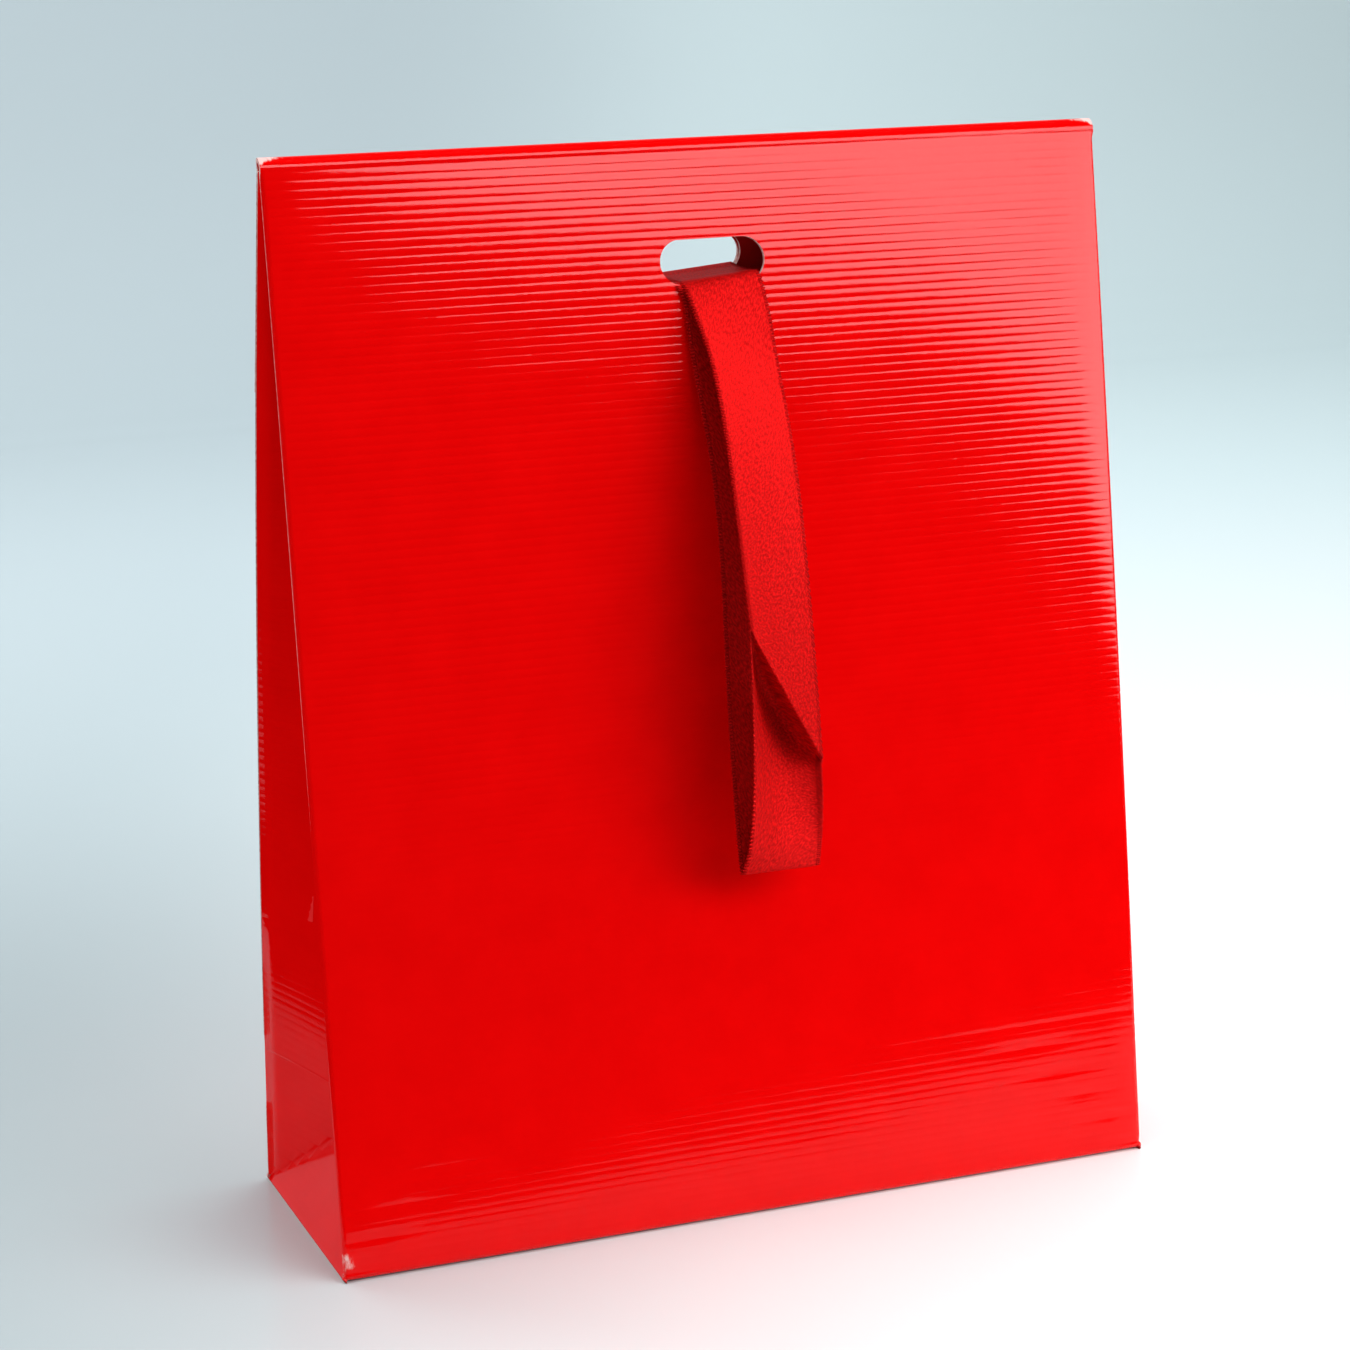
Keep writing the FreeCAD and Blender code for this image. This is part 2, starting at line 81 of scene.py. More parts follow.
# ---------------------------------------------------------------------------
# The studio table
# One sheet of pale laminate lies flat under the bag and sweeps up behind it.
# Painted shade makes it greyer to the left, and it is smooth enough to mirror the bag faintly.
# ---------------------------------------------------------------------------
class Wire:
    """An output in a material's node tree. Sums on wires add the Math nodes."""

    def __init__(self, tree, socket=None):
        self.tree = tree
        self.socket = socket

    def node(self, kind, settings=None, sockets=None, out=0):
        made = self.tree.nodes.new(kind)
        for name, value in (settings or {}).items():
            if name == "stops":
                stops = made.color_ramp.elements
                while len(stops) < len(value):
                    stops.new(0.5)
                for stop, (place, shade) in zip(stops, value):
                    stop.position = place
                    stop.color = (*shade, 1) if hasattr(shade, "__len__") else (shade, shade, shade, 1)
            else:
                setattr(made, name, value)
        for name, value in (sockets or {}).items():
            if isinstance(value, Wire):
                self.tree.links.new(value.socket, made.inputs[name])
            else:
                made.inputs[name].default_value = value
        return Wire(self.tree, made.outputs[out])

    def sum(self, operation, *values):
        return self.node("ShaderNodeMath", {"operation": operation}, dict(enumerate(values)))

    def __add__(self, other):
        return self.sum("ADD", self, other)

    def __radd__(self, other):
        return self.sum("ADD", other, self)

    def __sub__(self, other):
        return self.sum("SUBTRACT", self, other)

    def __rsub__(self, other):
        return self.sum("SUBTRACT", other, self)

    def __mul__(self, other):
        return self.sum("MULTIPLY", self, other)

    def __rmul__(self, other):
        return self.sum("MULTIPLY", other, self)

    def __truediv__(self, other):
        return self.sum("DIVIDE", self, other)

    def __rtruediv__(self, other):
        return self.sum("DIVIDE", other, self)

    def size(self):
        return self.sum("ABSOLUTE", self)

    def wave(self):
        return self.sum("SINE", self)

    def fade(self, start, end):
        """0 up to start, 1 past end, smooth between them; start may be the larger."""
        return self.node(
            "ShaderNodeMapRange",
            {"interpolation_type": "SMOOTHSTEP", "clamp": True},
            {"Value": self, "From Min": start, "From Max": end},
        )

    def tint(self, low, high):
        """A colour between low and high, as this number goes from 0 to 1."""
        return self.node(
            "ShaderNodeMix", {"data_type": "RGBA"}, {0: self, 6: _rgba(low), 7: _rgba(high)}, 2
        )

    def speckle(self, scale, detail=2.0, roughness=0.5):
        """Noise over this vector."""
        return self.node(
            "ShaderNodeTexNoise",
            None,
            {"Vector": self, "Scale": scale, "Detail": detail, "Roughness": roughness},
        )

    def stretched(self, *scale):
        return self.node("ShaderNodeMapping", None, {"Vector": self, "Scale": scale})


def _rgba(shade):
    if isinstance(shade, Wire):
        return shade
    return (*shade, 1)


def finish_named(name):
    """A new material and the empty wire of its node tree."""
    material = bpy.data.materials.new(name)
    material.use_nodes = True
    material.node_tree.nodes.clear()
    return material, Wire(material.node_tree)


def coat_with(start, surface):
    """Makes the material's surface from a Principled shader with these sockets."""
    shader = start.node("ShaderNodeBsdfPrincipled", None, surface)
    end = start.tree.nodes.new("ShaderNodeOutputMaterial")
    start.tree.links.new(shader.socket, end.inputs["Surface"])


def relief(height, distance, strength=1.0, under=None):
    sockets = {"Height": height, "Distance": distance, "Strength": strength}
    if under is not None:
        sockets["Normal"] = under
    return height.node("ShaderNodeBump", None, sockets)


def new_piece(name, mesh_builder):
    """A new object at the origin whose mesh is the finished bmesh."""
    mesh = bpy.data.meshes.new(name)
    mesh_builder.to_mesh(mesh)
    mesh_builder.free()
    piece = bpy.data.objects.new(name, mesh)
    bpy.context.scene.collection.objects.link(piece)
    return piece


laminate, wire = finish_named("pale_laminate")
place = wire.node("ShaderNodeTexCoord", out="Object")
across = place.node("ShaderNodeSeparateXYZ", None, {"Vector": place}, "X")
back = place.node("ShaderNodeSeparateXYZ", None, {"Vector": place}, "Y")
# Painted light: the shaded tint darkens the table to the left and the lit tint lightens it to the
# right.
aslant = 0.93 * across - 0.36 * back
cloud = place.speckle(3.0, 1.0)
lit = back.fade(0.2, 1.0).tint((0.86, 0.88, 0.88), (0.78, 0.92, 0.95))
shaded = back.fade(-0.1, 1.1).tint((0.37, 0.44, 0.46), (0.60, 0.70, 0.74))
coat_with(wire, {
    "Base Color": (aslant + 0.08 * cloud).fade(-0.24, 0.18).tint(shaded, lit),
    "Roughness": 0.22,
    "Specular IOR Level": 0.14,
})

table_front = -0.19
table_length = 4.0
table_top = -0.0004
sweep_start, sweep_end = 1.4, 2.5
sweep_radius = 0.7

table = bmesh.new()
bmesh.ops.create_grid(table, x_segments=1, y_segments=64, size=1.0)
for v in table.verts:
    along = (v.co.y + 1) / 2
    run = table_front + table_length * along
    bend = min(max((run - sweep_start) / (sweep_end - sweep_start), 0), 1) * math.pi / 2
    if v.co.x < 0:
        x = -0.27 - 2.9 * min(max((run - 0.3) / 0.9, 0), 1)
    else:
        x = 0.35 + min(max(run - table_front, 0) * 1.4, 2.8)
    slant = (0.035 - 0.39 * x) * (1 - min(along / 0.08, 1)) ** 2
    v.co = Vector((
        x,
        min(run, sweep_start) + sweep_radius * math.sin(bend) + slant,
        table_top + sweep_radius * (1 - math.cos(bend)) + max(run - sweep_end, 0),
    ))
for face in table.faces:
    face.smooth = True
studio_table = new_piece("studio_table", table)
studio_table.data.materials.append(laminate)

# ---------------------------------------------------------------------------
# The lamps
# One large soft box stands high in front and to the right, and the glossy ribs
# mirror it. Hidden panels and the pale room soften the shadows.
# ---------------------------------------------------------------------------


def soft_box(name, at, aim, width, height, glow, roll=0.0):
    """A rectangular lamp; glow is how bright its face looks."""
    lamp = bpy.data.lights.new(name, "AREA")
    lamp.shape = "RECTANGLE"
    lamp.size, lamp.size_y = width, height
    lamp.energy = glow * 4 * width * height
    box = bpy.data.objects.new(name, lamp)
    facing = (Vector(aim) - Vector(at)).to_track_quat("-Z", "Y").to_matrix().to_4x4()
    box.matrix_world = Matrix.Translation(at) @ facing @ Matrix.Rotation(math.radians(roll), 4, "Z")
    bpy.context.scene.collection.objects.link(box)
    return box


key_aim = (-0.094, -0.247, 0.198)
key_width, key_height, key_roll = 0.524, 1.54, 45.7
soft_box("key_box", (0.575, -0.821, 0.67), key_aim, key_width, key_height, 3.2, key_roll)
# The same box again, just in front of the first: it is mirrored but lights nothing.
key_sheen = soft_box(
    "key_sheen", (0.5616, -0.8095, 0.6606), key_aim, key_width, key_height, 3.4, key_roll
)
key_sheen.visible_diffuse = False
soft_box("back_box", (-0.75, 1.25, 1.25), (0.0, 0.0, 0.2), 0.9, 0.7, 2.4)
# Panels that light surfaces but aren't mirrored in them.
for name, at, aim, width, height, glow in (
    ("overhead", (0.3, 0.25, 1.7), (0.1, 0.2, 0.0), 1.6, 1.6, 2.5),
    ("front_fill", (1.0, -1.1, 0.8), (0.05, 0.0, 0.05), 1.0, 1.0, 1.15),
    ("left_fill", (-1.3, -0.15, 0.35), (-0.12, 0.0, 0.12), 0.8, 0.8, 2.6),
):
    soft_box(name, at, aim, width, height, glow).visible_glossy = False

room = bpy.data.worlds.new("white_room")
room.use_nodes = True
room.node_tree.nodes["Background"].inputs["Color"].default_value = (0.93, 0.98, 1.0, 1)
room.node_tree.nodes["Background"].inputs["Strength"].default_value = 0.31
room.cycles_visibility.glossy = False
bpy.context.scene.world = room

# ---------------------------------------------------------------------------
# The card
# The whole bag is one blank of glossy red card with fine raised ribs that run
# level round it. The back of the card is plain, and its cut edges are pale.
# ---------------------------------------------------------------------------
mm = 0.001
card = 1.2 * mm
rib_pitch = 2.4 * mm
rib_height = 0.052 * mm
rows_per_rib = 7
half_width = 125 * mm
foot = 42 * mm
head_z = 302.75 * mm
head_y = 2.55 * mm
edge_round = 1.3 * mm


def ramp(value, start, end):
    """0 before start, 1 past end, and smooth between them."""
    share = min(max((value - start) / (end - start), 0), 1)
    return share * share * (3 - 2 * share)


ribbed_face, wire = finish_named("ribbed_red_gloss")
flat = wire.node("ShaderNodeUVMap", {"uv_map": "blank"})
worn = wire.node("ShaderNodeAttribute", {"attribute_name": "worn"}, out="Fac")
grain = flat.stretched(1300, 2600, 1).speckle(1.0, 3.0, 0.65)
waves = flat.stretched(45, 330, 1).speckle(1.0, 3.0, 0.6)
mottle = flat.stretched(60, 60, 1).speckle(1.0, 4.0, 0.6)
cracks = flat.stretched(700, 260, 1).speckle(1.0, 4.0, 0.7)
scuff = (worn + 0.55 * (cracks - 0.5)).fade(0.52, 0.72)
red = mottle.tint((0.70, 0.0004, 0.0006), (0.84, 0.0010, 0.0012))
coat_with(wire, {
    "Base Color": scuff.tint(red, (0.80, 0.50, 0.47)),
    "Roughness": 0.05 + 0.05 * mottle + 0.35 * scuff,
    "IOR": 1.5,
    "Specular IOR Level": 0.21,
    "Normal": relief(grain, 0.000006, 1.0, relief(waves, 0.00003, 1.0)),
})

liner, wire = finish_named("plain_red_liner")
flat = wire.node("ShaderNodeTexCoord", out="Object")
pulp = flat.speckle(420.0, 4.0, 0.6)
coat_with(wire, {
    "Base Color": pulp.tint((0.74, 0.002, 0.003), (0.92, 0.006, 0.006)),
    "Roughness": 0.62 + 0.1 * pulp,
    "Normal": relief(pulp, 0.00008, 0.5),
})

cut_edge, wire = finish_named("pale_cut_edge")
flat = wire.node("ShaderNodeTexCoord", out="Object")
pulp = flat.speckle(900.0, 4.0, 0.7)
coat_with(wire, {
    "Base Color": pulp.fade(0.3, 0.75).tint((0.62, 0.22, 0.20), (0.80, 0.66, 0.62)),
    "Roughness": 0.8,
    "Normal": relief(pulp, 0.0002, 0.6),
})


def bowed_wall(z_share, bow):
    """Depth and height of a large wall's outer face, and its outward direction."""
    chord = Vector((head_y - foot, head_z))
    out = Vector((chord.y, -chord.x)).normalized()
    spot = Vector((foot, 0)) + chord * z_share + out * (4 * bow * z_share * (1 - z_share))
    run = chord + out * (4 * bow * (1 - 2 * z_share))
    return spot, Vector((run.y, -run.x)).normalized()


def rib_relief(x, s):
    """How far the card's face lies below the crests, which are shallow arcs."""
    drift = 0.05 * noise.noise(Vector((x * 14, s * 55, 3.1)))
    swell = 1 + 0.30 * noise.noise(Vector((x * 60, s * 420, 7.7)))
    across = 2 * ((s / rib_pitch + drift) % 1) - 1
    # The ribs are pressed flatter towards the bottom.
    pressed = 0.42 + 0.58 * ramp(s, 0.07, 0.18)
    return rib_height * swell * pressed * (across**2 + 0.6 * pressed * ramp(abs(across), 0.72, 1.0))


def only_verts(grown):
    return [part for part in grown if isinstance(part, bmesh.types.BMVert)]


def flat_card(name, columns, low, high):
    """A flat slab of card: x across it, y along it, and its outer face at z 0."""
    blank = bmesh.new()
    rows = round((high - low) / rib_pitch * rows_per_rib)
    bmesh.ops.create_grid(blank, x_segments=len(columns) - 1, y_segments=rows, size=0.5)
    for v in blank.verts:
        v.co.x = columns[round((v.co.x + 0.5) * (len(columns) - 1))]
        v.co.y = low + (high - low) * (v.co.y + 0.5)
    grown = bmesh.ops.extrude_face_region(blank, geom=blank.faces[:])["geom"]
    bmesh.ops.translate(blank, verts=only_verts(grown), vec=(0, 0, -card))
    bmesh.ops.recalc_face_normals(blank, faces=blank.faces[:])
    return new_piece(name, blank)


def punch(piece, *slots):
    """Cuts stadium-shaped slots, given by their middle (x, y), through a flat slab."""
    cutters = bmesh.new()
    for x, y in slots:
        made = bmesh.ops.create_circle(cutters, cap_ends=True, segments=40, radius=slot_height / 2)
        for v in made["verts"]:
            v.co.x += math.copysign((slot_width - slot_height) / 2, v.co.x) + x
            v.co += Vector((0, y, 4 * mm))
        faces = list({f for v in made["verts"] for f in v.link_faces})
        deep = bmesh.ops.extrude_face_region(cutters, geom=faces)["geom"]
        bmesh.ops.translate(cutters, verts=only_verts(deep), vec=(0, 0, -10 * mm))
    bmesh.ops.recalc_face_normals(cutters, faces=cutters.faces[:])
    tool = new_piece("slot_punch", cutters)
    cut = piece.modifiers.new("slot", "BOOLEAN")
    cut.operation = "DIFFERENCE"
    cut.solver = "EXACT"
    cut.object = tool
    graph = bpy.context.evaluated_depsgraph_get()
    punched = bpy.data.meshes.new_from_object(piece.evaluated_get(graph))
    piece.modifiers.clear()
    piece.data = punched
    bpy.data.objects.remove(tool)


def fold(piece, shape, wear):
    """Bends a flat slab: shape(x, s, depth) gives each point's place."""
    sheet = bmesh.new()
    sheet.from_mesh(piece.data)
    blank = sheet.loops.layers.uv.new("blank")
    worn = sheet.verts.layers.float.new("worn")
    for face in sheet.faces:
        face.smooth = True
        up = face.normal.z
        face.material_index = 0 if up > 0.5 else 1 if up < -0.5 else 2
        if abs(up) < 0.5:
            face.smooth = False
        for loop in face.loops:
            loop[blank].uv = loop.vert.co.xy
    for edge in sheet.edges:
        edge.smooth = len({f.material_index for f in edge.link_faces}) < 2
    for v in sheet.verts:
        v[worn] = wear(v.co.x, v.co.y)
        v.co = shape(*v.co)
    sheet.to_mesh(piece.data)
    sheet.free()
    for finish in (ribbed_face, liner, cut_edge):
        piece.data.materials.append(finish)


# ---------------------------------------------------------------------------
# The front wrap
# The front wall, its rounded top fold and the flap that goes down behind the
# back wall are one length of the card, with a hand slot punched in the wall
# and another in the flap.
# ---------------------------------------------------------------------------
slot_width = 31.5 * mm
slot_height = 12.6 * mm
slot_x = 1.6 * mm
slot_z = 272 * mm
front_bow = 1.5 * mm
fold_radius = 3.25 * mm
fold_y = 0.7 * mm
flap_length = 64 * mm
foot_round = 1.6 * mm

wall_length = math.hypot(foot - head_y, head_z)
fold_length = math.pi * fold_radius
flap_slope = Vector((0.2165, -1.0)).normalized()


def dents(x, s, wall):
    """Slow unevenness of a large wall, with its shallow packing folds."""
    free = ramp(s, 0.0, 0.03) * ramp(wall_length - s, 0.0, 0.03)
    free *= ramp(half_width - abs(x), 0.0, 0.02)
    slow = 0.5 * mm * noise.noise(Vector((x * 13, s * 10, wall))) * free
    near_corner = abs(s - (half_width - abs(x))) / 1.41
    corner_fold = -0.26 * mm * (1 - ramp(near_corner, 0, 2.2 * mm))
    corner_fold *= 1 - ramp(s, 36 * mm, 44 * mm)
    level_fold = -0.05 * mm * (1 - ramp(abs(s - 43 * mm), 0, 2.0 * mm))
    level_fold *= ramp(x, 0.02, 0.08)
    return slow + corner_fold + level_fold


def front_bulge(x, s):
    """How far the front wall is pushed out, most of it in its upper half."""
    share = min(max(s / wall_length, 0), 1)
    flat_edge = 1 - abs(x / half_width) ** 4
    shoulder = 1.2 * mm * (1 - math.exp((share - 1) * wall_length / 0.047))
    shoulder *= ramp(share, 0, 0.4)
    return (3.1 * mm * math.sin(math.pi * share**3) + shoulder) * max(flat_edge, 0)


def front_line(s):
    """Outer face of the front wrap at a length s up from the bottom fold."""
    if s < 0:
        turn = -s / foot_round
        return (
            Vector((-foot + foot_round * (1 - math.cos(turn)), foot_round * (1 - math.sin(turn)))),
            Vector((-math.cos(turn), -math.sin(turn))),
        )
    if s <= wall_length:
        spot, out = bowed_wall(s / wall_length, front_bow)
        lift = foot_round * (1 - ramp(s, 0, 30 * mm))
        return Vector((-spot.x, spot.y + lift)), Vector((-out.x, out.y))
    s -= wall_length
    if s <= fold_length:
        turn = s / fold_radius
        out = Vector((-math.cos(turn), math.sin(turn)))
        return Vector((fold_y, head_z)) + out * fold_radius, out
    s -= fold_length
    start = Vector((fold_y + fold_radius, head_z))
    return start + flap_slope * s, Vector((-flap_slope.y, flap_slope.x))


def rib_calm(across, s):
    """1 on the open wall and less at its bottom fold and its sides, where ribs are crushed."""
    at_side = ramp(across, half_width - 4 * mm, half_width - 1 * mm)
    return ramp(s, 0.5 * mm, 3.5 * mm) * (1 - 0.6 * at_side)


def wrap_shape(x, s, depth):
    """Place of the point x across the wrap, s along it and depth off its outer face."""
    spot, out = front_line(s)
    side = math.copysign(1, x)
    across = abs(x)
    start = half_width - edge_round
    on_wall = ramp(wall_length - s, 0.0, 3 * mm)
    calm = rib_calm(across, s)
    if s > wall_length - 2 * mm:
        calm *= 0.55 + 0.45 * ramp(s - wall_length - fold_length, 0, 3 * mm)
    face = 1 + depth / card
    level = depth - rib_relief(x, s) * calm * face
    if 0 < s < wall_length:
        level += dents(x, s, 1.7) + front_bulge(x, s)
    over = max(across - start, 0)
    turn = over / edge_round
    round_x = start + (edge_round + level) * math.sin(turn)
    round_out = (edge_round + level) * math.cos(turn) - edge_round
    flat_x = start + over / (math.pi / 2) if over else across
    if not over:
        round_x, round_out = across, level
    trimmed = 1 - 0.006 * ramp(s - wall_length, 4 * mm, 12 * mm)
    px = side * (round_x * on_wall + flat_x * (1 - on_wall)) * trimmed
    po = round_out * on_wall + level * (1 - on_wall)
    return Vector((px, spot.x + out.x * po, spot.y + out.y * po))


def patchy(x, s, wall):
    return 0.6 + 0.8 * noise.noise(Vector((x, s * 45, wall)))


def wrap_wear(x, s):
    """Where the coating is rubbed off: the folds and the corners."""
    edge = half_width + edge_round * 0.57 - abs(x)
    rub = 0.42 * (1 - ramp(edge, 0.2 * mm, 1.6 * mm)) * patchy(x, s, 0)
    top = s - wall_length - fold_length * 0.42
    rub = max(rub, 0.34 * (1 - ramp(abs(top), 0.4 * mm, 2.2 * mm)))
    rub = max(rub, 0.36 * (1 - ramp(abs(s), 0.2 * mm, 1.6 * mm)))
    rub = max(rub, 1.0 * (1 - ramp(math.hypot(edge, top), 1.0 * mm, 5 * mm)))
    foot_corner = math.hypot(x + half_width, s - 4 * mm)
    rub = max(rub, 0.62 * (1 - ramp(foot_corner, 1.5 * mm, 7 * mm)))
    for nick in edge_nicks:
        away = math.hypot(x - half_blank, s - nick)
        rub = max(rub, 0.9 * (1 - ramp(away, 0.5 * mm, 2.2 * mm)))
    for crack in fold_cracks:
        away = math.hypot((x - crack) * 0.5, top + 1 * mm)
        rub = max(rub, 0.75 * (1 - ramp(away, 0.2 * mm, 1.2 * mm)))
    return rub


half_blank = half_width - edge_round + edge_round * math.pi / 2
edge_nicks = [height * mm for height in (155, 139.5, 83, 39, 34, 13.5)]
fold_cracks = [across * mm for across in (-46, -7, 38, 77)]
flat_half = half_width - edge_round
steps = [half_blank - k * edge_round * math.pi / 2 / 4 for k in range(4)]
steps += [flat_half - 0.1 * mm - k * flat_half / 14 for k in range(14)]
columns = sorted([-c for c in steps] + [0.0] + steps)

wrap_end = rib_pitch * round((wall_length + fold_length + flap_length) / rib_pitch)
front_wrap = flat_card("front_wrap", columns, -rib_pitch, wrap_end)
slot_s = wall_length * slot_z / head_z
flap_slot_s = wall_length + fold_length + (head_z - slot_z) / -flap_slope.y
punch(front_wrap, (slot_x, slot_s), (slot_x, flap_slot_s))
fold(front_wrap, wrap_shape, wrap_wear)
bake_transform(front_wrap)
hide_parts("front_panel", "top_fold", "closure_flap")

# ---------------------------------------------------------------------------
# The back wall
# The same ribbed card behind, a separate length glued to the rest at the side
# seam. It bows out backwards near the top, and has a hand slot of its own.
# ---------------------------------------------------------------------------
back_bow = 6.5 * mm


def back_shape(x, s, depth):
    spot, out = bowed_wall(min(max(s / wall_length, 0), 1), back_bow)
    across, side = abs(x), math.copysign(1, x)
    face = 1 + depth / card
    calm = rib_calm(across, s)
    level = depth - rib_relief(-x + 0.4, s) * calm * face + dents(x, s, 5.2)
    side_dent = math.hypot(x + half_width, (s - 35 * mm) * 0.5)
    level -= 0.7 * mm * (1 - ramp(side_dent, 0, 7 * mm))
    start = half_width - edge_round
    over = max(across - start, 0)
    if over:
        turn = over / edge_round
        across = start + (edge_round + level) * math.sin(turn)
        level = (edge_round + level) * math.cos(turn) - edge_round
    spot = spot + out * level
    return Vector((side * across, spot.x, max(spot.y, 0.0)))


def back_wear(x, s):
    edge = half_width + edge_round * 0.57 - abs(x)
    return 0.30 * (1 - ramp(edge, 0.2 * mm, 1.6 * mm)) * patchy(x, s, 9)


back_wall = flat_card("back_wall", columns, 0.0, rib_pitch * math.floor(wall_length / rib_pitch))
punch(back_wall, (slot_x, slot_s))
fold(back_wall, back_shape, back_wear)
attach(back_wall, "bag")
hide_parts("back_panel")

# ---------------------------------------------------------------------------
# The side walls
# Each side is one width of the card, creased inwards down its middle, with a
# flat triangle at its foot where the crease meets the bottom.
# ---------------------------------------------------------------------------
apex_z = 33 * mm
apex_depth = 25 * mm
side_crease = foot
side_length = rib_pitch * math.floor(wall_length / rib_pitch)
side_rows = round(side_length / rib_pitch * rows_per_rib)


def side_point(u, s):
    """Outer face of the right side wall: u from front to back, s up it."""
    bow = front_bow if u < 0 else back_bow
    share = min(max(s / wall_length, 0), 1)
    spot, _ = bowed_wall(share, bow)
    reach = max(spot.x - edge_round - 0.8 * mm * ramp(s, 0, 0.2), 0.4 * mm)
    edge = Vector((half_width - 0.15 * mm, reach, spot.y))
    share = s / side_crease
    if share < 1:
        middle = Vector((half_width - apex_depth * share, side_crease * (1 - share), apex_z * share))
        if abs(u) <= side_crease - s:
            return Vector((middle.x, u, middle.z))
        across = (side_crease - abs(u)) / s
    else:
        rise = (s - side_crease) / (side_length - side_crease)
        height = apex_z + rise * (head_z - 1.0 * mm - apex_z)
        wall, _ = bowed_wall(height / head_z, (front_bow + back_bow) / 2)
        depth = math.sqrt(max(side_crease**2 - (wall.x - 0.6 * mm) ** 2, 0))
        depth = min(depth + 5.5 * mm * math.exp(-(height - apex_z) / 0.035), 40.8 * mm)
        middle = Vector((half_width - depth, 0.05 * mm, height))
        across = (side_crease - abs(u)) / side_crease
    spot = edge.lerp(middle, across)
    return Vector((spot.x, math.copysign(spot.y, u), spot.z))


def side_wall(name, hand):
    """hand is 1 for the right side and -1 for the left one."""
    blank = bmesh.new()
    bmesh.ops.create_grid(blank, x_segments=18, y_segments=side_rows, size=0.5)
    for v in blank.verts:
        v.co = Vector((v.co.x * 2 * side_crease, (v.co.y + 0.5) * side_length, 0))
    for lean in (-1, 1):
        bmesh.ops.bisect_plane(
            blank, geom=blank.verts[:] + blank.edges[:] + blank.faces[:], dist=1e-6,
            plane_co=(lean * side_crease, 0, 0), plane_no=(lean, 1, 0),
        )
    layer = blank.loops.layers.uv.new("blank")
    worn = blank.verts.layers.float.new("worn")
    for face in blank.faces:
        face.smooth = True
        for loop in face.loops:
            loop[layer].uv = loop.vert.co.xy
    flat_place = {}
    for v in blank.verts:
        u, s = v.co.x, v.co.y
        flat_place[v] = (u, s)
        crease = min(abs(abs(u) - (side_crease - s)) / 1.41, abs(u) if s > side_crease else 1)
        v[worn] = 0.40 * (1 - ramp(crease, 0.3 * mm, 1.6 * mm))
        spot = side_point(u, s)
        v.co = Vector((hand * spot.x, spot.y, spot.z))
    if hand < 0:
        bmesh.ops.reverse_faces(blank, faces=blank.faces[:])
    blank.normal_update()
    outward = {v: v.normal.copy() for v in blank.verts}
    for v in blank.verts:
        u, s = flat_place[v]
        foot_part = 1 - ramp(s - (side_crease - abs(u)), -1 * mm, 1 * mm)
        calm = ramp(s, 0.5 * mm, 3.0 * mm) * ramp(side_crease - abs(u), 0.3 * mm, 2.5 * mm)
        calm *= 1 - 0.8 * ramp(s, side_length - 30 * mm, side_length)
        slow = 0.7 * mm * noise.noise(Vector((u * 22, s * 14, 2 + hand)))
        slow *= ramp(s, 0, 0.02) * ramp(side_length - s, 0, 0.12)
        slow *= ramp(side_crease - abs(u), 0, 12 * mm)
        calm *= 1 - 0.75 * foot_part
        v.co += outward[v] * (slow - rib_relief(u + 0.3 * hand, s) * calm)
    piece = new_piece(name, blank)
    for finish in (ribbed_face, liner, cut_edge):
        piece.data.materials.append(finish)
    body = piece.modifiers.new("card_thickness", "SOLIDIFY")
    body.thickness = 0.8 * mm
    body.offset = -1
    body.material_offset = 1
    body.material_offset_rim = 2
    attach(piece, "bag")
    return piece


left_side = side_wall("left_side", -1)
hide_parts("left_gusset_front", "left_gusset_back", "left_gusset_foot")
right_side = side_wall("right_side", 1)
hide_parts("right_gusset_front", "right_gusset_back", "right_gusset_foot")

under_face, wire = finish_named("ribbed_red_underside")
spot = wire.node("ShaderNodeTexCoord", out="Object")
deep = spot.node("ShaderNodeSeparateXYZ", None, {"Vector": spot}, "Y")
ribs = 0.5 + 0.5 * (deep * (math.tau / rib_pitch)).wave()
fibre = spot.stretched(190, 900, 190).speckle(1.0, 3.0, 0.6)
mottle = spot.speckle(60.0, 4.0, 0.6)
coat_with(wire, {
    "Base Color": mottle.tint((0.70, 0.0015, 0.003), (0.84, 0.003, 0.005)),
    "Roughness": 0.12 + 0.12 * mottle,
    "Normal": relief(ribs + 0.15 * fibre, 0.0004),
})
grey_pulp, wire = finish_named("grey_pulp_board")
spot = wire.node("ShaderNodeTexCoord", out="Object")
flecks = spot.speckle(650.0, 5.0, 0.7)
clouds = spot.speckle(45.0, 3.0, 0.6)
coat_with(wire, {
    "Base Color": (flecks * 0.7 + clouds * 0.3).fade(0.3, 0.7).tint(
        (0.20, 0.19, 0.17), (0.36, 0.345, 0.32)
    ),
    "Roughness": 0.9,
    "Normal": relief(flecks, 0.0002, 0.5),
})
for name, finish in (
    ("bottom_flap_back", under_face),
    ("bottom_flap_front", liner),
    ("bottom_tuck_left", liner),
    ("bottom_tuck_right", liner),
    ("side_seam_tab", liner),
    ("base_board", grey_pulp),
):
    nodes[name].data.materials.clear()
    nodes[name].data.materials.append(finish)

# ---------------------------------------------------------------------------
# The ribbon
# One length of red satin ribbon, 24 mm wide with beaded selvedges. It hangs in
# front as a loop, and both its runs go back through the three slots to two
# loose ends behind the flap.
# ---------------------------------------------------------------------------
ribbon_left = -6.0 * mm
ribbon_width = 24 * mm
ribbon_right = ribbon_left + ribbon_width
ribbon_thick = 0.35 * mm
bead_pitch = 0.95 * mm
twill_pitch = 0.42 * mm
lip_z = 265.7 * mm

